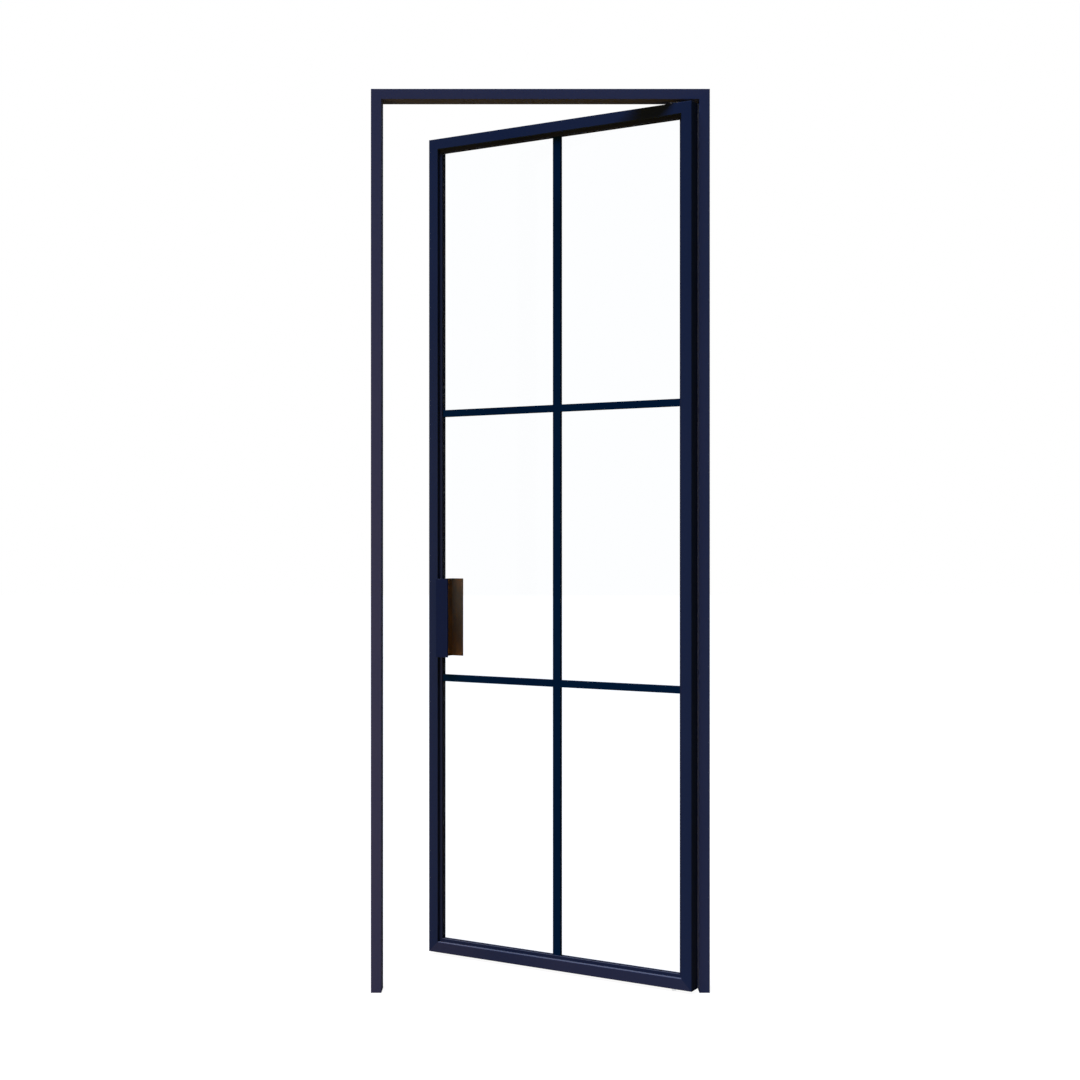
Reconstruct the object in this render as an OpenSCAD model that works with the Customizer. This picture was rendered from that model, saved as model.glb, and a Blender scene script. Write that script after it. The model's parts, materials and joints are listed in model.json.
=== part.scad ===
// Glazed steel interior door, pivot-hung in a three-sided frame of steel tube.
// The origin is on the floor, in the middle of the frame: +X to the pivot side, +Y the way the
// leaf stands open, +Z up. Every leaf piece is drawn with the door shut and then swung open.

/* [Frame] */
// Outer width of the frame
frame_w = 900; // [700:5:1200]
// Outer height of the frame above the floor
frame_h = 2400; // [1900:5:3000]
// Face width of the frame tube, seen from the front
frame_face = 28; // [24:1:45]
// Depth of the frame tube, through the wall
frame_depth = 50; // [40:1:80]
// Wall of the frame tube
frame_wall = 2; // [1.5:0.5:3]
// Plate that closes the foot of each jamb
foot_plate_t = 3; // [2:0.5:6]
// Hole for a wall screw in the outer wall of the tube
fixing_d = 6.5; // [5:0.5:9]
// Hole in the inner wall that lets the screw and the driver through
fixing_access_d = 12; // [10:0.5:15]
// From the end of a jamb to its first wall screw
fixing_edge = 150; // [80:5:300]
// Between the two wall screws of a pair
fixing_pitch = 700; // [300:10:800]
// Between the two screws through the head
head_fixing_pitch = 400; // [200:10:500]

/* [Leaf] */
// Face width of the stiles and rails
stile_face = 30; // [26:1:50]
// Thickness of the leaf
leaf_depth = 40; // [36:1:50]
// Wall of the leaf tube
leaf_wall = 2; // [1.5:0.5:3]
// Rounding along the edges of both tubes
tube_edge_r = 1.2; // [0.5:0.1:2]
// Gap between leaf and jamb, each side
side_gap = 5; // [4:0.5:10]
// Gap between leaf and head
top_gap = 9; // [5:0.5:15]
// Gap between leaf and floor
floor_gap = 9; // [5:0.5:15]
// How far the door stands open
open_angle = 30; // [0:1:60]

/* [Glazing] */
// Thickness of the glass
glass_t = 6; // [4:0.5:8]
// Room round the edge of the glass
glass_edge_gap = 3; // [2:0.5:4]
// Width of a glazing bead, seen from the front
bead_face = 9; // [8:0.5:16]
// How far the beads lie behind the face of the leaf
bead_setback = 10.5; // [8:0.5:12]
// Rounding along the edges of beads and glazing bars
bar_edge_r = 0.5; // [0.2:0.1:0.8]
// Thickness of the glazing tape between bead and glass
tape_t = 1; // [0.5:0.1:2]
// Width of the glazing tape
tape_w = 5; // [3:0.5:5]
// How far the tape stays back from the edge of the bead
tape_inset = 0.5; // [0:0.1:1]
// Length of a setting block under the glass
setting_block_len = 80; // [40:5:120]

/* [Glazing bars] */
// Width of the upright bar in the middle
mullion_face = 24; // [16:1:40]
// Width of the level bars
transom_face = 20; // [16:1:40]
// Thickness of a bar
bar_t = 2; // [1.5:0.5:4]
// Thickness of the bonding tape under a bar
bar_tape_t = 0.5; // [0.3:0.1:1]
// How far the bonding tape stays back from the edges of its bar
bar_tape_inset = 2; // [1:0.5:4]

/* [Grips] */
// Length of a grip
grip_len = 225; // [150:5:600]
// Height of the middle of a grip above the floor
grip_height = 978; // [850:1:1150]
// Width of the leg that the hand holds
grip_leg = 40; // [30:1:60]
// How far the leg stands out from the face of the leaf
grip_reach = 22.5; // [18:0.5:40]
// Thickness of the angle
grip_t = 4; // [3:0.5:6]
// Rounding along the edges of the angle
grip_edge_r = 0.8; // [0.4:0.1:1.4]
// Fillet inside the angle
grip_root_r = 3; // [1:0.5:5]
// Room between the grip and the glass
grip_glass_gap = 0.8; // [0.5:0.1:2]
// Length of the packer between grip and stile
packer_len = 190; // [120:5:300]
// Depth of the packer
packer_depth = 8; // [7:0.5:8]
// Thread of the grip screws
grip_screw_d = 5; // [4:0.5:5]
// Between one grip screw and the next
grip_screw_pitch = 75; // [30:5:90]

/* [Pivots] */
// From the edge of the leaf to the pivot axis
pivot_inset = 60; // [56:1:90]
// Diameter of both pivot pins
pin_d = 12; // [10:0.5:14]
// Running clearance between pin and bush, on the radius
pin_clearance = 0.05; // [0.02:0.01:0.1]
// Wall of a bush
bush_wall = 3; // [2:0.5:3]
// Width of the bush's flange
bush_flange_w = 3; // [2:0.5:4]
// Thickness of the bush's flange
bush_flange_t = 2; // [1.5:0.5:3]
// Closed end of a bush
bush_end_t = 3; // [2:0.5:4]
// Block left over the closed end of a bush
bush_roof = 3; // [2:0.5:4]
// Length of the pivot blocks inside the rails
pivot_block_len = 50; // [40:1:50]
// Length of the pivot block inside the head
head_block_len = 60; // [50:1:80]
// Free travel above the upper pin
top_pin_travel = 3; // [2:0.5:5]
// Length of the floor plate, which is let into the floor
floor_plate_len = 90; // [80:1:120]
// Width of the floor plate
floor_plate_w = 34; // [30:1:40]
// Thickness of the floor plate
floor_plate_t = 6; // [6:0.5:10]
// Hole for a floor screw
floor_screw_d = 5.5; // [4.5:0.5:6]
// Between the two floor screws
floor_screw_pitch = 62; // [54:1:66]
// Head of the lower pin, held under the floor plate
pin_head_d = 18; // [16:0.5:22]
// Thickness of that head
pin_head_t = 2; // [1.5:0.5:3]

/* [Fits] */
// Play of pieces that are pressed or screwed together
seat_play = 0.02; // [0.01:0.01:0.05]
// Play of a screw in a plain hole
screw_play = 0.25; // [0.1:0.05:0.5]
// Open joint between two lengths of glazing tape
tape_joint = 0.5; // [0.2:0.1:1]

/* [Hidden] */
$fn = 48;
steel = [0.176, 0.180, 0.255];
bright = [0.62, 0.63, 0.65];
bronze = [0.60, 0.44, 0.22];
black = [0.05, 0.05, 0.06];
clear = [0.86, 0.93, 0.95, 0.25];

// How far a cutting shape runs past what it cuts
over = 20;

// Leaf
leaf_w = frame_w - 2 * frame_face - 2 * side_gap;
leaf_h = frame_h - frame_face - top_gap - floor_gap;
leaf_mid_z = floor_gap + leaf_h / 2;
leaf_top = floor_gap + leaf_h;
pivot_x = leaf_w / 2 - pivot_inset;
head_under = frame_h - frame_face;

// Glazing, with the section counted from the edge and the face of the leaf
rebate_w = leaf_w - 2 * stile_face;
rebate_h = leaf_h - 2 * stile_face;
glass_w = rebate_w - 2 * glass_edge_gap;
glass_h = rebate_h - 2 * glass_edge_gap;
sight = stile_face + bead_face;
clear_w = leaf_w - 2 * sight;
clear_h = leaf_h - 2 * sight;
bead_t = leaf_depth / 2 - bead_setback - tape_t - glass_t / 2;
bead_y = glass_t / 2 + tape_t + bead_t / 2;
tape_ring_w = clear_w + 2 * (tape_inset + tape_w);
tape_ring_h = clear_h + 2 * (tape_inset + tape_w);

// Glazing bars
bar_y = glass_t / 2 + bar_tape_t + bar_t / 2;
bar_tape_y = glass_t / 2 + bar_tape_t / 2;
pane_h = (clear_h - 2 * transom_face) / 3;
transom_len = (clear_w - mullion_face) / 2;
transom_x = (mullion_face + transom_len) / 2;
transom_z = (pane_h + transom_face) / 2;

// Grips
grip_x = -leaf_w / 2 + sight;
grip_face_y = -leaf_depth / 2 - grip_reach;
grip_foot_y = -glass_t / 2 - grip_glass_gap;
packer_x = -leaf_w / 2 + stile_face;
packer_y = -leaf_depth / 2 + bead_setback - packer_depth;
screw_y = packer_y + packer_depth / 2;
screw_head_r = grip_screw_d;
screw_head_h = grip_screw_d / 2;
screw_len = grip_t + bead_face + 2 * leaf_wall + grip_screw_d / 2;
socket_d = grip_screw_d * 0.7;
socket_depth = screw_head_h * 0.8;

// Pivots
bush_bore_r = pin_d / 2 + pin_clearance;
bush_r = bush_bore_r + bush_wall;
lower_bush_len = stile_face - leaf_wall - bush_roof;
head_bush_len = frame_face - frame_wall - bush_roof;
lower_pin_top = floor_gap + lower_bush_len - bush_end_t - pin_clearance;
upper_pin_top = head_under + head_bush_len - bush_end_t - top_pin_travel;
upper_pin_foot = leaf_top - stile_face + leaf_wall;
pin_chamfer = pin_d / 8;
countersink_r = floor_screw_d;

// Shared shapes

// Rectangle with rounded corners, its lower left corner at the origin
module soft_rect(size, r) {
    translate([r, 0]) square([size.x - 2 * r, size.y]);
    translate([0, r]) square([size.x, size.y - 2 * r]);
    for (x = [r, size.x - r], y = [r, size.y - r]) translate([x, y]) circle(r);
}

// Section of a bar, depth across and face upwards; a wall of 0 leaves it solid
module section(face, depth, r, wall) {
    translate([-depth / 2, 0]) difference() {
        soft_rect([depth, face], r);
        if (wall > 0) translate([wall, wall]) square([depth - 2 * wall, face - 2 * wall]);
    }
}

// Bar along +X with its outer edge at z = 0; a mitre of 1 cuts that end at 45 degrees
module member(len, face, depth, r, wall, mitre) {
    ends = [for (z = [-over, face + over]) [mitre[0] * z, len - mitre[1] * z, z]];
    intersection() {
        translate([-over, 0, 0]) rotate([90, 0, 90]) linear_extrude(len + 2 * over)
            section(face, depth, r, wall);
        rotate([90, 0, 0]) linear_extrude(2 * depth, center = true) polygon([
            [ends[0][0], ends[0][2]], [ends[0][1], ends[0][2]],
            [ends[1][1], ends[1][2]], [ends[1][0], ends[1][2]]]);
    }
}

// Puts a bar on one side of an upright rectangle, with its outer edge on the rectangle
module on_side(size, side) {
    if (side == "bottom") translate([-size.x / 2, 0, -size.y / 2]) children();
    if (side == "top") translate([size.x / 2, 0, size.y / 2]) rotate([0, 180, 0]) children();
    if (side == "pivot") translate([size.x / 2, 0, -size.y / 2]) rotate([0, -90, 0]) children();
    if (side == "free") translate([-size.x / 2, 0, size.y / 2]) rotate([0, 90, 0]) children();
}

function side_len(size, side) = side == "top" || side == "bottom" ? size.x : size.y;

// Turns the shut leaf about its pivots to where it stands open
module swung() {
    translate([pivot_x, 0, 0]) rotate([0, 0, -open_angle]) translate([-pivot_x, 0, 0]) children();
}

// Moves to the middle of the leaf
module at_leaf_middle() {
    translate([0, 0, leaf_mid_z]) children();
}

// Draws a front piece, or its twin on the rear of the leaf
module on_face(face) {
    if (face == "rear") mirror([0, 1, 0]) children();
    else children();
}

// Frame

module frame_member(side, mitre) {
    size = [frame_w, frame_h];
    translate([0, 0, frame_h / 2]) on_side(size, side)
        member(side_len(size, side), frame_face, frame_depth, tube_edge_r, frame_wall, mitre);
}

// Wall-screw holes, drilled along +X from the outer face of a tube that starts at x = 0
module fixing_hole() {
    rotate([0, 90, 0]) {
        translate([0, 0, -over]) cylinder(d = fixing_d, h = over + frame_face / 2);
        translate([0, 0, frame_face / 2]) cylinder(d = fixing_access_d, h = frame_face / 2 + over);
    }
}

module jamb(side, mitre) {
    pairs = [fixing_edge, fixing_edge + fixing_pitch,
             frame_h - fixing_edge - fixing_pitch, frame_h - fixing_edge];
    turn = side == "pivot" ? 180 : 0;
    color(steel) difference() {
        frame_member(side, mitre);
        for (z = pairs) rotate([0, 0, turn]) translate([-frame_w / 2, 0, z]) fixing_hole();
    }
}

module left_jamb() { jamb("free", [1, 0]); }

module right_jamb() { jamb("pivot", [0, 1]); }

module head() {
    color(steel) difference() {
        frame_member("top", [1, 1]);
        for (x = [-1, 1]) translate([x * head_fixing_pitch / 2, 0, frame_h])
            rotate([0, 90, 0]) fixing_hole();
        translate([pivot_x, 0, head_under - over]) cylinder(r = bush_r + seat_play, h = over + frame_face / 2);
    }
}

module jamb_foot_plates() {
    size = [frame_face - 2 * frame_wall, frame_depth - 2 * frame_wall, foot_plate_t];
    color(steel) for (x = [-1, 1])
        translate([x * (frame_w - frame_face) / 2 - size.x / 2, -size.y / 2, 0]) cube(size);
}

// Pivots

// Blind bush that stands on its flange, the seat face at z = 0
module bush(len) {
    color(bronze) difference() {
        union() {
            cylinder(r = bush_r, h = len);
            translate([0, 0, -bush_flange_t]) cylinder(r = bush_r + bush_flange_w, h = bush_flange_t);
        }
        translate([0, 0, -over]) cylinder(r = bush_bore_r, h = over + len - bush_end_t);
    }
}

// Block that fills a tube from wall to wall, its lower face at z = 0
module tube_block(len, face, depth, wall) {
    size = [len, depth - 2 * wall, face - 2 * wall];
    translate([-size.x / 2, -size.y / 2, 0]) cube(size);
}

// Pin with a chamfered tip, from z = 0 upwards
module pin(len) {
    cylinder(d = pin_d, h = len - pin_chamfer);
    translate([0, 0, len - pin_chamfer])
        cylinder(r1 = pin_d / 2, r2 = pin_d / 2 - pin_chamfer, h = pin_chamfer);
}

module head_pivot_block() {
    color(bright) translate([pivot_x, 0, head_under + frame_wall]) difference() {
        tube_block(head_block_len, frame_face, frame_depth, frame_wall);
        translate([0, 0, -over])
            cylinder(r = bush_r + seat_play, h = over + head_bush_len - frame_wall + seat_play);
    }
}

module head_pivot_bush() {
    translate([pivot_x, 0, head_under]) bush(head_bush_len);
}

module floor_pivot_plate() {
    end_r = floor_plate_w / 2;
    color(bright) translate([pivot_x, 0, -floor_plate_t]) difference() {
        linear_extrude(floor_plate_t) translate([-floor_plate_len / 2, -end_r]) union() {
            translate([end_r, 0]) square([floor_plate_len - 2 * end_r, floor_plate_w]);
            for (x = [end_r, floor_plate_len - end_r]) translate([x, end_r]) circle(end_r);
        }
        translate([0, 0, -over]) cylinder(r = pin_d / 2 + seat_play, h = 2 * over);
        translate([0, 0, -over]) cylinder(r = pin_head_d / 2 + seat_play, h = over + pin_head_t);
        for (x = [-1, 1]) translate([x * floor_screw_pitch / 2, 0, 0]) {
            translate([0, 0, -over]) cylinder(d = floor_screw_d, h = 2 * over);
            translate([0, 0, floor_plate_t - countersink_r / 2])
                cylinder(r1 = countersink_r / 2, r2 = countersink_r, h = countersink_r / 2);
        }
    }
}

module floor_pivot_pin() {
    color(bright) translate([pivot_x, 0, -floor_plate_t]) {
        pin(floor_plate_t + lower_pin_top);
        cylinder(d = pin_head_d, h = pin_head_t);
    }
}

module bottom_pivot_block() {
    color(bright) swung() translate([pivot_x, 0, floor_gap + leaf_wall]) difference() {
        tube_block(pivot_block_len, stile_face, leaf_depth, leaf_wall);
        translate([0, 0, -over])
            cylinder(r = bush_r + seat_play, h = over + lower_bush_len - leaf_wall + seat_play);
    }
}

module bottom_pivot_bush() {
    swung() translate([pivot_x, 0, floor_gap]) bush(lower_bush_len);
}

module top_pivot_block() {
    color(bright) swung() translate([pivot_x, 0, upper_pin_foot]) difference() {
        tube_block(pivot_block_len, stile_face, leaf_depth, leaf_wall);
        translate([0, 0, -over]) cylinder(r = pin_d / 2 + seat_play, h = stile_face + 2 * over);
    }
}

module top_pivot_pin() {
    color(bright) swung() translate([pivot_x, 0, upper_pin_foot]) pin(upper_pin_top - upper_pin_foot);
}

// Leaf frame

module leaf_member(side) {
    size = [leaf_w, leaf_h];
    at_leaf_middle() on_side(size, side)
        member(side_len(size, side), stile_face, leaf_depth, tube_edge_r, leaf_wall, [1, 1]);
}

// Heights of the grip screws
function grip_screw_heights() = [for (i = [-1, 0, 1]) grip_height + i * grip_screw_pitch];

// Places children at each grip screw, on the inner face of the web, pointing to the stile
module at_grip_screws() {
    for (z = grip_screw_heights())
        translate([grip_x + grip_t, screw_y, z]) rotate([0, -90, 0]) children();
}

module free_stile() {
    color(steel) swung() difference() {
        leaf_member("free");
        for (face = ["front", "rear"]) on_face(face) at_grip_screws()
            cylinder(d = grip_screw_d + 2 * seat_play, h = screw_len + seat_play);
    }
}

module pivot_stile() {
    color(steel) swung() leaf_member("pivot");
}

module top_rail() {
    color(steel) swung() difference() {
        leaf_member("top");
        translate([pivot_x, 0, leaf_top - stile_face / 2])
            cylinder(r = pin_d / 2 + screw_play, h = stile_face / 2 + over);
    }
}

module bottom_rail() {
    color(steel) swung() difference() {
        leaf_member("bottom");
        translate([pivot_x, 0, floor_gap - over])
            cylinder(r = bush_r + seat_play, h = over + stile_face / 2);
    }
}

// Glazing

module glass_pane() {
    color(clear) swung() at_leaf_middle() cube([glass_w, glass_t, glass_h], center = true);
}

module setting_blocks() {
    color(black) swung() at_leaf_middle() for (x = [-1, 1])
        translate([x * glass_w / 4 - setting_block_len / 2, -glass_t / 2, -rebate_h / 2])
            cube([setting_block_len, glass_t, glass_edge_gap]);
}

// Four strips, the upright ones cut between the level ones
module glazing_tape(face) {
    size = [tape_ring_w, tape_ring_h];
    color(black) swung() on_face(face) at_leaf_middle()
        translate([0, -(glass_t + tape_t) / 2, 0]) for (side = ["top", "bottom", "free", "pivot"]) {
            cut = side == "top" || side == "bottom" ? 0 : tape_w + tape_joint;
            on_side(size, side) translate([cut, -tape_t / 2, 0])
                cube([side_len(size, side) - 2 * cut, tape_t, tape_w]);
        }
}

module bead(face, side) {
    size = [rebate_w, rebate_h];
    color(steel) swung() on_face(face) at_leaf_middle() translate([0, -bead_y, 0]) on_side(size, side)
        member(side_len(size, side), bead_face, bead_t, bar_edge_r, 0, [1, 1]);
}

// Glazing bars

module bar(len, face) {
    translate([-len / 2, 0, -face / 2]) rotate([90, 0, 90]) linear_extrude(len)
        section(face, bar_t, bar_edge_r, 0);
}

module mullion(face) {
    color(steel) swung() on_face(face) at_leaf_middle() translate([0, -bar_y, 0])
        rotate([0, 90, 0]) bar(clear_h, mullion_face);
}

// Level bar: row is 1 for the upper and -1 for the lower, side is 1 for the pivot side
module transom(face, row, side) {
    color(steel) swung() on_face(face) at_leaf_middle()
        translate([side * transom_x, -bar_y, row * transom_z]) bar(transom_len, transom_face);
}

module bar_tape_strip(len, face) {
    cube([len - 2 * bar_tape_inset, bar_tape_t, face - 2 * bar_tape_inset], center = true);
}

module bar_tape(face) {
    color(black) swung() on_face(face) at_leaf_middle() translate([0, -bar_tape_y, 0]) {
        rotate([0, 90, 0]) bar_tape_strip(clear_h, mullion_face);
        for (row = [-1, 1], side = [-1, 1]) translate([side * transom_x, 0, row * transom_z])
            bar_tape_strip(transom_len, transom_face);
    }
}

// Grips

module grip_section() {
    web = grip_foot_y - grip_face_y;
    soft_rect([grip_t, web], grip_edge_r);
    soft_rect([grip_leg, grip_t], grip_edge_r);
    translate([grip_t - grip_edge_r, grip_t - grip_edge_r]) difference() {
        square(grip_root_r + grip_edge_r);
        translate([grip_root_r + grip_edge_r, grip_root_r + grip_edge_r]) circle(grip_root_r);
    }
}

// Screw with a countersunk socket head, its flat top at z = 0 and its tip towards +z
module countersunk_screw() {
    difference() {
        union() {
            cylinder(r1 = screw_head_r, r2 = grip_screw_d / 2, h = screw_head_h);
            cylinder(d = grip_screw_d, h = screw_len);
        }
        translate([0, 0, -over]) cylinder(d = socket_d, h = over + socket_depth, $fn = 6);
    }
}

module grip(face) {
    color(steel) swung() on_face(face) difference() {
        translate([grip_x, grip_face_y, grip_height - grip_len / 2]) linear_extrude(grip_len) grip_section();
        at_grip_screws() {
            cylinder(d = grip_screw_d + 2 * screw_play, h = screw_len);
            cylinder(r1 = screw_head_r + screw_play, r2 = grip_screw_d / 2 + screw_play, h = screw_head_h);
        }
    }
}

module grip_packer(face) {
    color(steel) swung() on_face(face) difference() {
        translate([packer_x, packer_y, grip_height - packer_len / 2])
            cube([bead_face, packer_depth, packer_len]);
        at_grip_screws() cylinder(d = grip_screw_d + 2 * screw_play, h = screw_len);
    }
}

module grip_screws(face) {
    color(black) swung() on_face(face) at_grip_screws() countersunk_screw();
}

// Nodes

left_jamb();
right_jamb();
head();
jamb_foot_plates();
head_pivot_block();
head_pivot_bush();
floor_pivot_plate();
floor_pivot_pin();
free_stile();
pivot_stile();
top_rail();
bottom_rail();
bottom_pivot_block();
bottom_pivot_bush();
top_pivot_block();
top_pivot_pin();
glass_pane();
setting_blocks();
glazing_tape("front");  // front_glazing_tape
glazing_tape("rear");  // rear_glazing_tape
bead("front", "top");  // front_bead_top
bead("front", "bottom");  // front_bead_bottom
bead("front", "free");  // front_bead_free_side
bead("front", "pivot");  // front_bead_pivot_side
bead("rear", "top");  // rear_bead_top
bead("rear", "bottom");  // rear_bead_bottom
bead("rear", "free");  // rear_bead_free_side
bead("rear", "pivot");  // rear_bead_pivot_side
bar_tape("front");  // front_bar_tape
bar_tape("rear");  // rear_bar_tape
mullion("front");  // front_mullion
mullion("rear");  // rear_mullion
transom("front", 1, -1);  // front_transom_upper_free_side
transom("front", 1, 1);  // front_transom_upper_pivot_side
transom("front", -1, -1);  // front_transom_lower_free_side
transom("front", -1, 1);  // front_transom_lower_pivot_side
transom("rear", 1, -1);  // rear_transom_upper_free_side
transom("rear", 1, 1);  // rear_transom_upper_pivot_side
transom("rear", -1, -1);  // rear_transom_lower_free_side
transom("rear", -1, 1);  // rear_transom_lower_pivot_side
grip("front");  // front_grip
grip("rear");  // rear_grip
grip_packer("front");  // front_grip_packer
grip_packer("rear");  // rear_grip_packer
grip_screws("front");  // front_grip_screws
grip_screws("rear");  // rear_grip_screws
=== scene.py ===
# %% [markdown]
# # A glazed steel door that turns on pivots
# A slim door of powder-coated steel tube stands open in its frame. The solids come from the CAD
# model and stay where they are. This lesson dresses them: it sets the camera and a pale studio,
# gives each material the surface that it has on the real door, and adds the small fasteners.

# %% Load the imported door
import json
import math
import bmesh
import bpy
from mathutils import Matrix, Vector


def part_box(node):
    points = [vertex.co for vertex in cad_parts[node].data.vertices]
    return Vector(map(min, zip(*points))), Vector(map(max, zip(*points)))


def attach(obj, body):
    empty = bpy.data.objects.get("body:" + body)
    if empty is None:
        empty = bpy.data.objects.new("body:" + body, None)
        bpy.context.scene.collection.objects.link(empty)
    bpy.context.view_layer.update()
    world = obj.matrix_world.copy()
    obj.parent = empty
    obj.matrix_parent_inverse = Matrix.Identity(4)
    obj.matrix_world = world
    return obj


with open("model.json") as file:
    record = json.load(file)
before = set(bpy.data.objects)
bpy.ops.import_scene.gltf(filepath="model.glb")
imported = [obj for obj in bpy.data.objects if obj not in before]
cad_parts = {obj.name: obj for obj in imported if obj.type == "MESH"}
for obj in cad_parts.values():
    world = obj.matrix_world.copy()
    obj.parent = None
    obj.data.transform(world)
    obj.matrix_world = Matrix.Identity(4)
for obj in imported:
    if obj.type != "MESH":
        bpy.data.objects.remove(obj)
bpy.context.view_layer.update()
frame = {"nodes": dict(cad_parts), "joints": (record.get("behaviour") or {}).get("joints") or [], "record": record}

# %% [markdown]
# ## Two helpers for everything that follows
# Colours are written as sRGB hex codes, the way a paint chart gives them, and Blender's sockets
# want linear light, so one function converts them. Node trees are easier to read when a node, its
# settings and its links are one call, so another function does that.

# %% Colour and node helpers
MM = 0.001


def linear(code):
    """Turn an sRGB hex code such as "#2d2e41" into linear RGBA."""
    channels = [int(code[i:i + 2], 16) / 255 for i in (1, 3, 5)]
    return [c / 12.92 if c <= 0.04045 else ((c + 0.055) / 1.055) ** 2.4 for c in channels] + [1.0]


def add_node(tree, kind, inputs=None, **settings):
    """Add a node with its settings, and fill its inputs with values or links from sockets."""
    node = tree.nodes.new(kind)
    for name, value in settings.items():
        setattr(node, name, value)
    for socket, value in (inputs or {}).items():
        if isinstance(value, bpy.types.NodeSocket):
            tree.links.new(value, node.inputs[socket])
        else:
            node.inputs[socket].default_value = value
    return node


print("sRGB middle grey is", round(linear("#808080")[0], 3), "in linear light")

# %% [markdown]
# ## The camera
# The picture looks square at the frame from a little over four metres, at chest height and dead
# level, so upright edges stay upright. The lens follows from how fast the leaf shrinks as it
# swings away: a long normal lens. No shift and no depth of field are needed.

# %% Camera
CAMERA_PLACE = (-0.0009, -4.229, 1.2023)
LENS_MM = 52.8
SENSOR_MM = 36.0

camera = bpy.data.objects.new("camera", bpy.data.cameras.new("camera"))
camera.data.lens = LENS_MM
camera.data.sensor_width = SENSOR_MM
camera.location = CAMERA_PLACE
camera.rotation_euler = (math.radians(90), 0, 0)
bpy.context.scene.collection.objects.link(camera)
bpy.context.scene.camera = camera
bpy.context.scene.view_settings.view_transform = "Standard"
print("the camera sees", round(math.degrees(camera.data.angle), 1), "degrees")

# %% [markdown]
# ## A pale studio
# The door stands before pure white. Turning up the lights would bleach the paint, so the white is
# only what the camera, a reflection or a ray through the glass sees. Everything that lights the
# door by diffuse bounce sees a dimmer sky instead, cool above and weaker on the right. A Light
# Path node tells the two kinds of ray apart.

# %% Sky
SKY_SEEN = "#ffffff"
SKY_TOP = "#a6bcf2"
SKY_SIDE = "#8ea2d2"
SKY_LEFT_STRENGTH = 0.20
SKY_RIGHT_STRENGTH = 0.02
# Where the sky changes, as the upright and the sideways part of a direction, from -1 to 1.
SKY_LOW, SKY_HIGH = -0.1, 0.8
SKY_LEFT, SKY_RIGHT = -0.2, 0.7


def background_rays(tree):
    """Give 1 for rays that should see the plain white background, and 0 for diffuse light."""
    path = add_node(tree, "ShaderNodeLightPath")
    either = add_node(tree, "ShaderNodeMath", {
        0: path.outputs["Is Camera Ray"], 1: path.outputs["Is Glossy Ray"]}, operation="MAXIMUM")
    seen_ray = add_node(tree, "ShaderNodeMath", {
        0: either.outputs[0], 1: path.outputs["Is Transmission Ray"]}, operation="MAXIMUM")
    return seen_ray.outputs[0]


world = bpy.data.worlds.new("studio")
bpy.context.scene.world = world
world.use_nodes = True
sky = world.node_tree
sky.nodes.clear()
direction = add_node(sky, "ShaderNodeSeparateXYZ", {
    0: add_node(sky, "ShaderNodeTexCoord").outputs["Generated"]})
height = add_node(sky, "ShaderNodeMapRange", {
    "Value": direction.outputs["Z"], "From Min": SKY_LOW, "From Max": SKY_HIGH})
sky_colour = add_node(sky, "ShaderNodeMix", {
    0: height.outputs[0], 6: linear(SKY_SIDE), 7: linear(SKY_TOP)}, data_type="RGBA")
strength = add_node(sky, "ShaderNodeMapRange", {
    "Value": direction.outputs["X"], "From Min": SKY_LEFT, "From Max": SKY_RIGHT,
    "To Min": SKY_LEFT_STRENGTH, "To Max": SKY_RIGHT_STRENGTH})
sky_light = add_node(sky, "ShaderNodeBackground", {
    "Color": sky_colour.outputs[2], "Strength": strength.outputs[0]})
sky_seen = add_node(sky, "ShaderNodeBackground", {"Color": linear(SKY_SEEN), "Strength": 1.0})
sky_mix = add_node(sky, "ShaderNodeMixShader", {
    0: background_rays(sky), 1: sky_light.outputs[0], 2: sky_seen.outputs[0]})
add_node(sky, "ShaderNodeOutputWorld", {0: sky_mix.outputs[0]})
print("sky of", len(sky.nodes), "nodes")

# %% [markdown]
# ## The floor
# The floor is pale paint that melts into the background. Most of what the camera sees of it is a
# steady glow, and a little is plain paint under the lamps, so the door's shadow still shows. What
# it throws back up is warm, and browns the undersides of the tubes a little.

# %% Floor
FLOOR_LIFT = 0.3 * MM
FLOOR_HALF = 30.0
FLOOR_BOUNCE = "#d08428"
FLOOR_SHADED = "#505050"
FLOOR_GLOW = 0.95

floor_paint = bpy.data.materials.new("pale_floor_paint")
floor_paint.use_nodes = True
tree = floor_paint.node_tree
tree.nodes.clear()
seen = background_rays(tree)
floor_colour = add_node(tree, "ShaderNodeMix", {
    0: seen, 6: linear(FLOOR_BOUNCE), 7: linear(FLOOR_SHADED)}, data_type="RGBA")
floor_matt = add_node(tree, "ShaderNodeBsdfDiffuse", {"Color": floor_colour.outputs[2]})
glow = add_node(tree, "ShaderNodeMath", {0: seen, 1: FLOOR_GLOW}, operation="MULTIPLY")
floor_glow = add_node(tree, "ShaderNodeEmission", {
    "Color": linear(SKY_SEEN), "Strength": glow.outputs[0]})
floor_mix = add_node(tree, "ShaderNodeAddShader", {
    0: floor_matt.outputs[0], 1: floor_glow.outputs[0]})
add_node(tree, "ShaderNodeOutputMaterial", {0: floor_mix.outputs[0]})

floor_mesh = bpy.data.meshes.new("floor")
floor_mesh.from_pydata([(x * FLOOR_HALF, y * FLOOR_HALF, FLOOR_LIFT)
                        for x, y in ((-1, -1), (1, -1), (1, 1), (-1, 1))], [], [(0, 1, 2, 3)])
floor_mesh.materials.append(floor_paint)
floor = bpy.data.objects.new("floor", floor_mesh)
bpy.context.scene.collection.objects.link(floor)
print("floor", [round(side, 1) for side in floor.dimensions], "m")

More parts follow.
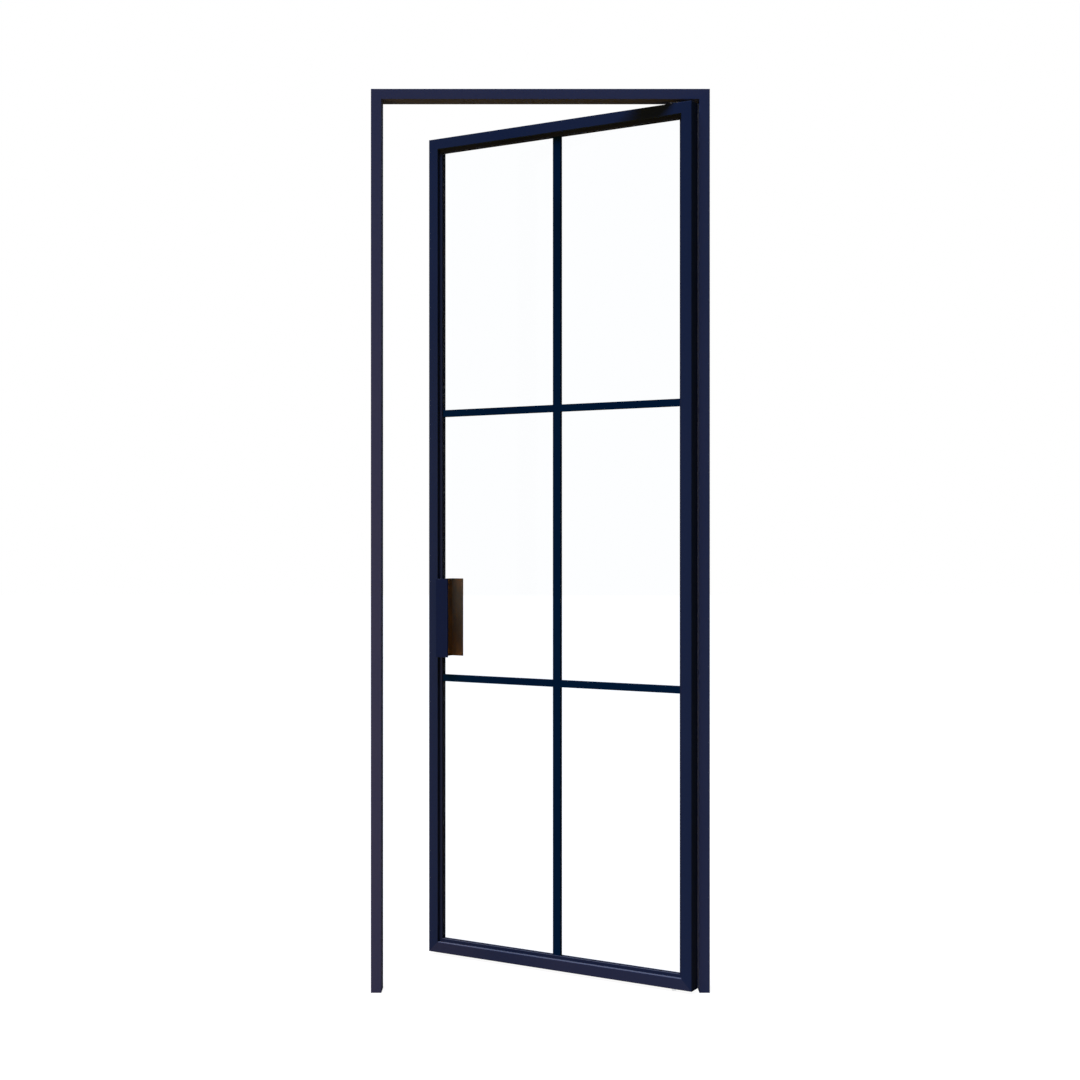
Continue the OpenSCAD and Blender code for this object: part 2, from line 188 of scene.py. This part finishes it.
# %% [markdown]
# ## Soft lamps
# Flat painted tube shows long, even gradients, which need large soft lamps. A very wide cool lamp
# hangs overhead and a little in front, so upward ledges are the brightest and the head throws a
# soft shadow on the leaf. A tall warm lamp close on the left makes that side rosier. Plain lamps
# behind and on the right keep those sides from going black; the right one stands back far enough
# to leave the edge of the leaf dark beside its jamb. The lamps are kept out of sight.

# %% Lamps
OVERHEAD_PLACE = (0.0, 0.0, 4.0)
OVERHEAD_TRAVEL = (0.27, 0.30, -0.91)
OVERHEAD_STRENGTH = 7.0
OVERHEAD_SPREAD_DEG = 36.0
COOL = "#c4d6ff"
WARM = "#ffa658"
FILL = "#fff0e2"
WARM_PLACE = (-1.25, -0.55, 0.95)
WARM_AIM = (-0.3, 0.2, 0.95)
WARM_SIZE = (0.5, 2.4)
WARM_WATTS = 30.0
REAR_PLACE = (-0.6, 4.6, 4.6)
REAR_AIM = (0.0, 0.0, 1.2)
REAR_SIZE = (3.0, 3.0)
REAR_WATTS = 150.0
RIGHT_PLACE = (3.0, 1.7, 2.2)
RIGHT_AIM = (0.45, 0.0, 1.2)
RIGHT_SIZE = (0.6, 1.5)
RIGHT_WATTS = 46.0


def hang(lamp, colour, place, travel):
    """Tint a lamp, hang it so that it shines along travel, and hide it from view."""
    lamp.color = linear(colour)[:3]
    holder = bpy.data.objects.new(lamp.name, lamp)
    holder.location = place
    holder.rotation_euler = Vector(travel).to_track_quat("-Z", "Y").to_euler()
    holder.visible_camera = holder.visible_glossy = holder.visible_transmission = False
    bpy.context.scene.collection.objects.link(holder)
    print(lamp.name, round(lamp.energy, 1))


overhead = bpy.data.lights.new("overhead_softbox", "SUN")
overhead.energy = OVERHEAD_STRENGTH
overhead.angle = math.radians(OVERHEAD_SPREAD_DEG)
hang(overhead, COOL, OVERHEAD_PLACE, OVERHEAD_TRAVEL)
for name, colour, place, aim, size, watts in (
        ("warm_side_lamp", WARM, WARM_PLACE, WARM_AIM, WARM_SIZE, WARM_WATTS),
        ("rear_fill_lamp", FILL, REAR_PLACE, REAR_AIM, REAR_SIZE, REAR_WATTS),
        ("right_fill_lamp", FILL, RIGHT_PLACE, RIGHT_AIM, RIGHT_SIZE, RIGHT_WATTS)):
    area = bpy.data.lights.new(name, "AREA")
    area.shape = "ELLIPSE"
    area.size, area.size_y = size
    area.energy = watts
    hang(area, colour, place, Vector(aim) - Vector(place))

# %% [markdown]
# ## Materials that start alike
# Every material of the door starts from an empty node tree with Object coordinates, which lie in
# the door's own frame in metres, so a pattern's scale is one over its real size. And every one
# ends at an output. Two small functions do both. The record says which slots are wanted.

# %% First and last node of a material
def start_material(name):
    """Make an empty node material and return it with its tree and its object coordinates."""
    material = bpy.data.materials.new(name)
    material.use_nodes = True
    material.node_tree.nodes.clear()
    coords = add_node(material.node_tree, "ShaderNodeTexCoord").outputs["Object"]
    return material, material.node_tree, coords


def close_material(tree, surface):
    """Send a finished surface to the material's output."""
    add_node(tree, "ShaderNodeOutputMaterial", {"Surface": surface.outputs[0]})


finishes = {}
record_slot = {part["node"]: part["material_slot"] for part in frame["record"]["subparts"]}
print("slots in the record", sorted(set(record_slot.values())))

# %% [markdown]
# ## Powder coat
# The steel is sprayed with polyester powder and baked. The powder melts into a matt skin with a
# faint orange peel, and its thickness drifts a little along a tube, so the tone drifts with it.
# Ledges that face up are painted a paler grey: a painted highlight for the light from above. Tone and roughness
# follow two noises, the painted highlight follows the surface's own normal, and the peel drives the bump. Real
# orange peel is about 1 mm across; here it is drawn at 3 mm, because finer grain would vanish between pixels.
# The inner faces of the rear grip are painted brown: painted warm bounce light, for the warm light that falls on
# them in their shade. Those are the faces that look to the front of the leaf and to its pivot side, so the
# object's own normal picks them out, at any pose.

# %% Powder coats
PEEL_MM = 3.0
PEEL_DEPTH_MM = 0.1
PEEL_STRENGTH = 0.12
DRIFT_MM = 260.0
MATT_ROUGHNESS = 0.60
MATT_SPREAD = 0.05
MATT_SHINE = 0.002
# Paler grey painted on ledges that face up: a painted highlight for the light from above.
LEDGE_HIGHLIGHT = "#787a78"
# How far up a face has to look for the painted highlight to begin, and to be full.
HIGHLIGHT_STEEP, HIGHLIGHT_LEVEL = 0.6, 0.95
# Brown painted on the inner faces of the rear grip: painted warm bounce light.
PAINTED_WARM_LIGHT = "#4c4331"
# The rounding inside the grip looks halfway between two faces with painted warm light, and gets it as well.
WARM_LIGHT_START, WARM_LIGHT_FULL = 0.55, 0.7
OPEN_DEG = 30.0
LEAF_FRONT = (-math.sin(math.radians(OPEN_DEG)), -math.cos(math.radians(OPEN_DEG)), 0.0)
PIVOT_SIDE = (math.cos(math.radians(OPEN_DEG)), -math.sin(math.radians(OPEN_DEG)), 0.0)
# Deep tone, pale tone, how strong the painted highlight on ledges is, and where faces with painted warm light
# look.
COATS = {
    # The frame's coat is paler than the leaf's: painted light, with the frame's face painted as more strongly lit
    # than the leaf's.
    "frame_coat": ("#24304b", "#28344f", 0.5),
    "leaf_coat": ("#111f38", "#15233d", 0.32),
    # The bottom rail's coat is paler and greyer than the leaf's: painted light for the warm bounce from the floor.
    "kick_coat": ("#1b263c", "#1f2a41", 0.3),
    # The beads' coat is a touch darker, with a weaker painted highlight: painted shade for the rebate they sit in.
    "bead_coat": ("#131e33", "#172238", 0.2),
    "bar_coat": ("#01132c", "#021730", 0.3),
    "grip_coat": ("#0a1733", "#0e1b37", 0.3),
    # The rear grip's coat carries painted warm bounce light on its inner faces.
    "rear_grip_coat": ("#0a1733", "#0e1b37", 0.3, (LEAF_FRONT, PIVOT_SIDE)),
}


def paint_warm_light(tree, colour, facings):
    """Paint warm bounce light, in brown, on the faces that look along the given directions."""
    for facing in facings:
        normal = add_node(tree, "ShaderNodeTexCoord").outputs["Normal"]
        along = add_node(tree, "ShaderNodeVectorMath", {
            0: normal, 1: facing}, operation="DOT_PRODUCT")
        warm_lit_share = add_node(tree, "ShaderNodeMapRange", {
            "Value": along.outputs["Value"], "From Min": WARM_LIGHT_START, "From Max": WARM_LIGHT_FULL})
        colour = add_node(tree, "ShaderNodeMix", {
            0: warm_lit_share.outputs[0], 6: colour, 7: linear(PAINTED_WARM_LIGHT)}, data_type="RGBA").outputs[2]
    return colour


def powder_coat(name, deep, pale, highlight_share, warm_lit_facings=()):
    """Baked polyester powder: matt, faintly peeled, with a slow drift in tone and a painted highlight on ledges.
    """
    material, tree, coords = start_material(name)
    drift = add_node(tree, "ShaderNodeTexNoise", {
        "Vector": coords, "Scale": 1 / (DRIFT_MM * MM), "Detail": 2.0})
    tone = add_node(tree, "ShaderNodeMix", {
        0: drift.outputs[0], 6: linear(deep), 7: linear(pale)}, data_type="RGBA")
    # Painted warm bounce light on the faces that look along the given directions.
    warm_lit_tone = paint_warm_light(tree, tone.outputs[2], warm_lit_facings)
    normal = add_node(tree, "ShaderNodeNewGeometry").outputs["Normal"]
    upward = add_node(tree, "ShaderNodeSeparateXYZ", {0: normal}).outputs["Z"]
    # Painted highlight on faces that look up.
    painted_highlight = add_node(tree, "ShaderNodeMapRange", {
        "Value": upward, "From Min": HIGHLIGHT_STEEP, "From Max": HIGHLIGHT_LEVEL, "To Max": highlight_share})
    highlighted = add_node(tree, "ShaderNodeMix", {
        0: painted_highlight.outputs[0], 6: warm_lit_tone, 7: linear(LEDGE_HIGHLIGHT)}, data_type="RGBA")
    peel = add_node(tree, "ShaderNodeTexNoise", {
        "Vector": coords, "Scale": 1 / (PEEL_MM * MM), "Detail": 1.0})
    matt = add_node(tree, "ShaderNodeMapRange", {
        "Value": peel.outputs[0], "To Min": MATT_ROUGHNESS - MATT_SPREAD,
        "To Max": MATT_ROUGHNESS + MATT_SPREAD})
    skin = add_node(tree, "ShaderNodeBump", {
        "Height": peel.outputs[0], "Strength": PEEL_STRENGTH, "Distance": PEEL_DEPTH_MM * MM})
    surface = add_node(tree, "ShaderNodeBsdfPrincipled", {
        "Base Color": highlighted.outputs[2], "Roughness": matt.outputs[0], "Normal": skin.outputs[0],
        "Specular IOR Level": MATT_SHINE})
    close_material(tree, surface)
    return material


finishes.update({name: powder_coat(name, *coat) for name, coat in COATS.items()})
print("coats", sorted(COATS))

# %% [markdown]
# ## Glass
# The pane is clear toughened float glass: it bends light, holds the faintest cool tint, and waves
# very slightly from the rollers of its furnace. Float glass has an IOR of 1.52, but in a studio
# that is white all round that lays a grey veil over the dark pieces behind it, which the real door
# doesn't show, so the IOR is lower here. Light that passes on to other pieces goes straight
# through a plain transparent shader, because caustics would only add noise.

# %% Glass
GLASS_TINT = "#fdfeff"
GLASS_IOR = 1.12
ROLLER_WAVE_MM = 400.0
ROLLER_DEPTH_MM = 1.0
ROLLER_STRENGTH = 0.02


def clear_glass(name):
    """Toughened float glass, 6 mm thick; light on its way to the pieces behind passes straight."""
    material, tree, coords = start_material(name)
    ripple = add_node(tree, "ShaderNodeTexNoise", {
        "Vector": coords, "Scale": 1 / (ROLLER_WAVE_MM * MM), "Detail": 0.0})
    wave = add_node(tree, "ShaderNodeBump", {
        "Height": ripple.outputs[0], "Strength": ROLLER_STRENGTH, "Distance": ROLLER_DEPTH_MM * MM})
    pane = add_node(tree, "ShaderNodeBsdfPrincipled", {
        "Base Color": linear(GLASS_TINT), "Roughness": 0.0, "IOR": GLASS_IOR,
        "Transmission Weight": 1.0, "Normal": wave.outputs[0]})
    path = add_node(tree, "ShaderNodeLightPath")
    lighting = add_node(tree, "ShaderNodeMath", {
        0: path.outputs["Is Shadow Ray"], 1: path.outputs["Is Diffuse Ray"]}, operation="MAXIMUM")
    open_air = add_node(tree, "ShaderNodeBsdfTransparent", {"Color": linear(GLASS_TINT)})
    surface = add_node(tree, "ShaderNodeMixShader", {
        0: lighting.outputs[0], 1: pane.outputs[0], 2: open_air.outputs[0]})
    close_material(tree, surface)
    return material


finishes["clear_glass"] = clear_glass("clear_glass")
print("glass of", len(finishes["clear_glass"].node_tree.nodes), "nodes")

# %% [markdown]
# ## Turned metal
# The pivots are steel and turn in bushes of bearing bronze, both much darker than bare metal: painted shade, so
# that the top pivot sits dark in the head's shadow without bright glints. The plate and pin in the floor get wet,
# so they are bright stainless steel. All are metals, so their colour is in the reflection, and all come off a
# lathe, which leaves fine rings round the axis. A wave of bands along the upright axis draws the rings in tone and
# in polish.

# %% Turned metal
RING_MM = 0.8
RING_WANDER = 0.6
BANDS_PER_UNIT = 20
POLISH_SPREAD = 0.06
# Deep tone, pale tone and roughness.
METALS = {
    # Darkened steel: painted shade, so the top pivot shows no glints in the head's shadow.
    "pivot_steel": ("#4a4b4f", "#5c5d61", 0.45),
    "floor_steel": ("#dcdddf", "#e8e9ea", 0.35),
    # Darkened bronze: painted shade, as for the pivot steel above.
    "bush_bronze": ("#3c2c1a", "#523d24", 0.50),
}


def turned_metal(name, deep, pale, roughness):
    """Metal from the lathe: fine rings along the axis, which is upright on this door."""
    material, tree, coords = start_material(name)
    rings = add_node(tree, "ShaderNodeTexWave", {
        "Vector": coords, "Scale": 1 / (BANDS_PER_UNIT * RING_MM * MM),
        "Distortion": RING_WANDER}, bands_direction="Z")
    tone = add_node(tree, "ShaderNodeMix", {
        0: rings.outputs[1], 6: linear(deep), 7: linear(pale)}, data_type="RGBA")
    polish = add_node(tree, "ShaderNodeMapRange", {
        "Value": rings.outputs[1], "To Min": roughness - POLISH_SPREAD,
        "To Max": roughness + POLISH_SPREAD})
    surface = add_node(tree, "ShaderNodeBsdfPrincipled", {
        "Base Color": tone.outputs[2], "Metallic": 1.0, "Roughness": polish.outputs[0]})
    close_material(tree, surface)
    return material


finishes.update({name: turned_metal(name, *metal) for name, metal in METALS.items()})
print("metals", sorted(METALS))

# %% [markdown]
# ## Foam tape and blackened steel
# The glass is bedded on black closed-cell foam tape, which is dull and swallows light. The screws
# are steel with a black oxide, darker and a little glossier. Both have a fine grain of about half
# a millimetre, so one function makes both from one noise.

# %% Foam tape and blackened steel
GRAIN_MM = 0.6
GRAIN_SPREAD = 0.04
# Deep tone, pale tone, roughness, and how metallic it is.
MATTS = {
    "tape_rubber": ("#08080a", "#131316", 0.85, 0.0),
    "screw_black": ("#0d0d10", "#1b1b20", 0.42, 0.7),
}


def matt_black(name, deep, pale, roughness, metallic):
    """Dull black with a fine grain: foam cells on the tape, oxide on the screws."""
    material, tree, coords = start_material(name)
    grain = add_node(tree, "ShaderNodeTexNoise", {
        "Vector": coords, "Scale": 1 / (GRAIN_MM * MM), "Detail": 2.0})
    tone = add_node(tree, "ShaderNodeMix", {
        0: grain.outputs[0], 6: linear(deep), 7: linear(pale)}, data_type="RGBA")
    dulled = add_node(tree, "ShaderNodeMapRange", {
        "Value": grain.outputs[0], "To Min": roughness - GRAIN_SPREAD,
        "To Max": roughness + GRAIN_SPREAD})
    surface = add_node(tree, "ShaderNodeBsdfPrincipled", {
        "Base Color": tone.outputs[2], "Roughness": dulled.outputs[0], "Metallic": metallic})
    close_material(tree, surface)
    return material


finishes.update({name: matt_black(name, *matt) for name, matt in MATTS.items()})
print("finishes", sorted(finishes))

# %% [markdown]
# ## Dress the solids
# Every solid already has a material slot in the record. Most take the finish of that name. The beads, the bars on
# the glass and the grips get coats of their own. The beads are a touch darker, painted shade for the rebate they
# sit in, and the bars are much darker and bluer. The rear grip's inner faces carry painted warm bounce light, in
# brown. The bottom rail is a little paler and greyer than the rest of the leaf, painted light for the warm bounce
# from the floor. The pieces of the pivot in the floor are stainless.

# %% Dress the CAD nodes
OWN_FINISHES = {
    "leaf_coat": {"bottom_rail": "kick_coat", "bead": "bead_coat", "mullion": "bar_coat",
                  "transom": "bar_coat", "front_grip": "grip_coat", "rear_grip": "rear_grip_coat"},
    "pivot_steel": {"floor_pivot": "floor_steel"},
}


def finish_of(node):
    """Name the finish of a CAD node: its own where it has one, or else its slot's."""
    slot = record_slot[node]
    for word, finish in OWN_FINISHES.get(slot, {}).items():
        if word in node:
            return finish
    return slot


for name, solid in frame["nodes"].items():
    solid.data.materials.clear()
    solid.data.materials.append(finishes[finish_of(name)])
print("dressed", len(frame["nodes"]), "solids")

# %% [markdown]
# ## Small fasteners that repeat
# Screws hold the rear beads, and thin caps close the holes in the frame through which it is
# screwed to the wall. A head or a cap is turned or moulded round, so each is a stack of rings;
# the socket in the screw's head is a hexagon that goes down into it.

# %% Head and cap meshes
CORNERS = 24
HEXAGON = 6
# Radius and height of each ring in millimetres, from the hidden end outwards.
HEAD_RINGS = ((1.5, -0.6), (2.2, 0.0), (2.2, 0.08), (2.05, 0.18))
SOCKET_RINGS = ((1.15, 0.18), (1.1, -0.45))
CAP_RINGS = ((5.6, -3.0), (5.8, 0.0), (7.2, 0.0), (7.2, 0.3), (6.6, 0.6), (3.0, 0.75))


def ring(radius, z, sides=CORNERS):
    """Points of a ring in millimetres; with 6 sides the points lie along a hexagon."""
    points = []
    step = 2 * math.pi / sides
    for i in range(CORNERS):
        turn = 2 * math.pi * i / CORNERS
        reach = radius
        if sides != CORNERS:
            reach = radius * math.cos(step / 2) / math.cos(turn % step - step / 2)
        points.append((reach * math.cos(turn) * MM, reach * math.sin(turn) * MM, z * MM))
    return points


def stacked(name, rings):
    """Join a stack of rings into one closed mesh, with a flat face at each end."""
    mesh_builder = bmesh.new()
    loops = [[mesh_builder.verts.new(point) for point in points] for points in rings]
    for lower, upper in zip(loops, loops[1:]):
        for i in range(CORNERS):
            j = (i + 1) % CORNERS
            mesh_builder.faces.new((lower[i], lower[j], upper[j], upper[i]))
    mesh_builder.faces.new(list(reversed(loops[0])))
    mesh_builder.faces.new(loops[-1])
    bmesh.ops.recalc_face_normals(mesh_builder, faces=mesh_builder.faces)
    mesh = bpy.data.meshes.new(name)
    mesh_builder.to_mesh(mesh)
    mesh_builder.free()
    print(name, len(mesh.polygons), "faces")
    return bpy.data.objects.new(name, mesh)


screw_head = stacked("bead_screw_head", [ring(*size) for size in HEAD_RINGS]
                     + [ring(*size, HEXAGON) for size in SOCKET_RINGS])
hole_cap = stacked("hole_cap_head", [ring(*size) for size in CAP_RINGS])

# %% [markdown]
# ## A tree that walks along guide edges
# The fasteners stand in rows at an even pitch, which could be a loop in Python, but a Geometry
# Nodes tree shows the rule better. It turns guide edges into curves, resamples them at the pitch,
# drops a head on every point and turns it to face the way that its edge says.

# %% Fastener tree
def fastener_tree(name):
    """Drop an object at every pitch along the guide edges, facing the way each edge says."""
    tree = bpy.data.node_groups.new(name, "GeometryNodeTree")
    tree.interface.new_socket("Guides", in_out="INPUT", socket_type="NodeSocketGeometry")
    tree.interface.new_socket("Pitch", in_out="INPUT", socket_type="NodeSocketFloat")
    tree.interface.new_socket("Head", in_out="INPUT", socket_type="NodeSocketObject")
    tree.interface.new_socket("Finish", in_out="INPUT", socket_type="NodeSocketMaterial")
    tree.interface.new_socket("Fasteners", in_out="OUTPUT", socket_type="NodeSocketGeometry")
    given = add_node(tree, "NodeGroupInput").outputs
    path = add_node(tree, "GeometryNodeMeshToCurve", {0: given["Guides"]})
    spaced = add_node(tree, "GeometryNodeResampleCurve", {
        "Curve": path.outputs[0], "Length": given["Pitch"]}, mode="LENGTH")
    facing = add_node(tree, "GeometryNodeInputNamedAttribute", {
        "Name": "facing"}, data_type="FLOAT_VECTOR")
    turned = add_node(tree, "FunctionNodeAlignRotationToVector", {
        "Vector": facing.outputs[0]}, axis="Z")
    head = add_node(tree, "GeometryNodeObjectInfo", {"Object": given["Head"]})
    placed = add_node(tree, "GeometryNodeInstanceOnPoints", {
        "Points": spaced.outputs[0], "Instance": head.outputs["Geometry"],
        "Rotation": turned.outputs[0]})
    solid = add_node(tree, "GeometryNodeRealizeInstances", {0: placed.outputs[0]})
    coated = add_node(tree, "GeometryNodeSetMaterial", {
        0: solid.outputs[0], "Material": given["Finish"]})
    add_node(tree, "NodeGroupOutput", {0: coated.outputs[0]})
    return tree


walk = fastener_tree("fasteners_along_guides")
print("tree of", len(walk.nodes), "nodes")

# %% [markdown]
# ## From guide edges to a plain mesh
# A guide is one edge with a facing at both ends, and the tree walks along it as a modifier, whose
# inputs are set by their identifiers. Instances and modifiers don't last in an export, so the
# result is kept as one plain mesh for each body, and the guide is thrown away.

# %% Rows of fasteners as plain meshes
sockets = {item.name: item.identifier for item in walk.interface.items_tree
           if item.in_out == "INPUT"}
print("tree inputs", sorted(sockets))


def fasteners(name, guides, pitch, head, finish, body):
    """Make one plain mesh of fasteners along guides, each given as two ends and a facing."""
    mesh = bpy.data.meshes.new(name + "_guides")
    points = [point for start, end, _ in guides for point in (start, end)]
    mesh.from_pydata(points, [(2 * i, 2 * i + 1) for i in range(len(guides))], [])
    outward = mesh.attributes.new("facing", "FLOAT_VECTOR", "POINT")
    for i, (_, _, facing) in enumerate(guides):
        for k in (2 * i, 2 * i + 1):
            outward.data[k].vector = facing
    guide = bpy.data.objects.new(name + "_guides", mesh)
    bpy.context.scene.collection.objects.link(guide)
    nodes = guide.modifiers.new("walk", "NODES")
    nodes.node_group = walk
    nodes[sockets["Pitch"]] = pitch
    nodes[sockets["Head"]] = head
    nodes[sockets["Finish"]] = finish
    evaluated = guide.evaluated_get(bpy.context.evaluated_depsgraph_get())
    piece = bpy.data.objects.new(name, bpy.data.meshes.new_from_object(evaluated))
    piece.data.materials.clear()
    piece.data.materials.append(finish)
    bpy.data.objects.remove(guide)
    bpy.context.scene.collection.objects.link(piece)
    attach(piece, body)
    print(name, len(piece.data.polygons) // len(head.data.polygons), "pieces")


# %% [markdown]
# ## Caps on the frame
# The frame is screwed to the wall through its tubes, and each screw goes in through a hole on the
# face towards the doorway. Plastic caps in the frame's colour close these holes on the real door.
# The record's mounts give the middle of each pair of holes and their spacing.

# %% Caps over the wall-screw holes
FRAME_FACE = 28 * MM
ACROSS = (1, 0, 0)
UP = (0, 0, 1)


def cap_guide(mount, spacing, along):
    """One guide through the two holes of a fixing, on the inner face of the tube."""
    middle = Vector(mount["pos_m"]) - Vector(mount["axis"]) * FRAME_FACE
    reach = Vector(along) * mount["dims"][spacing] * MM / 2
    return (middle - reach, middle + reach, -Vector(mount["axis"]))


mounts = {mount["name"]: mount for mount in frame["record"]["mounts"]}
jamb_mounts = [mounts[side + "_fixings_" + end]
               for side in ("left", "right") for end in ("lower", "upper")]
head_mount = mounts["head_fixings"]
fasteners("jamb_hole_caps", [cap_guide(mount, "spacing_y_mm", UP) for mount in jamb_mounts],
          jamb_mounts[0]["dims"]["spacing_y_mm"] * MM, hole_cap, finishes["frame_coat"],
          "frame")
fasteners("head_hole_caps", [cap_guide(head_mount, "spacing_x_mm", ACROSS)],
          head_mount["dims"]["spacing_x_mm"] * MM, hole_cap, finishes["frame_coat"],
          "frame")

# %% [markdown]
# ## Screws in the rear beads
# The rear beads come off to change the glass, so small screws hold them, in a row on each bead's
# inner face. The guides are laid out on the closed leaf, where everything is square, and then
# swung about the pivot to where the leaf stands open.

# %% Screws along the rear beads
SIDE_GAP = 5 * MM
STILE_FACE = 30 * MM
BEAD_FACE = 9 * MM
BEAD_Y = 6.75 * MM
SCREW_PITCH = 300 * MM
SCREW_END = 60 * MM

pivot = Vector(frame["joints"][0]["pos_m"])
turn_open = Matrix.Rotation(-math.radians(OPEN_DEG), 4, "Z")
swing = Matrix.Translation(pivot) @ turn_open @ Matrix.Translation(-pivot)
stile_low, stile_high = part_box("free_stile")
sight_x = -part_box("left_jamb")[1].x - SIDE_GAP - STILE_FACE - BEAD_FACE
sight_low = stile_low.z + STILE_FACE + BEAD_FACE
sight_high = stile_high.z - STILE_FACE - BEAD_FACE
print("glass shows over", round(2 * sight_x, 3), "by", round(sight_high - sight_low, 3), "m")
bead_guides = []
for side in (-1, 1):
    x = side * sight_x
    bead_guides.append(((x, BEAD_Y, sight_low + SCREW_END),
                        (x, BEAD_Y, sight_high - SCREW_END), (-side, 0, 0)))
for z, facing in ((sight_low, 1), (sight_high, -1)):
    bead_guides.append(((-sight_x + SCREW_END, BEAD_Y, z),
                        (sight_x - SCREW_END, BEAD_Y, z), (0, 0, facing)))
swung_guides = [(swing @ Vector(a), swing @ Vector(b), swing.to_3x3() @ Vector(facing))
                for a, b, facing in bead_guides]
fasteners("rear_bead_screws", swung_guides, SCREW_PITCH, screw_head, finishes["screw_black"],
          "leaf")
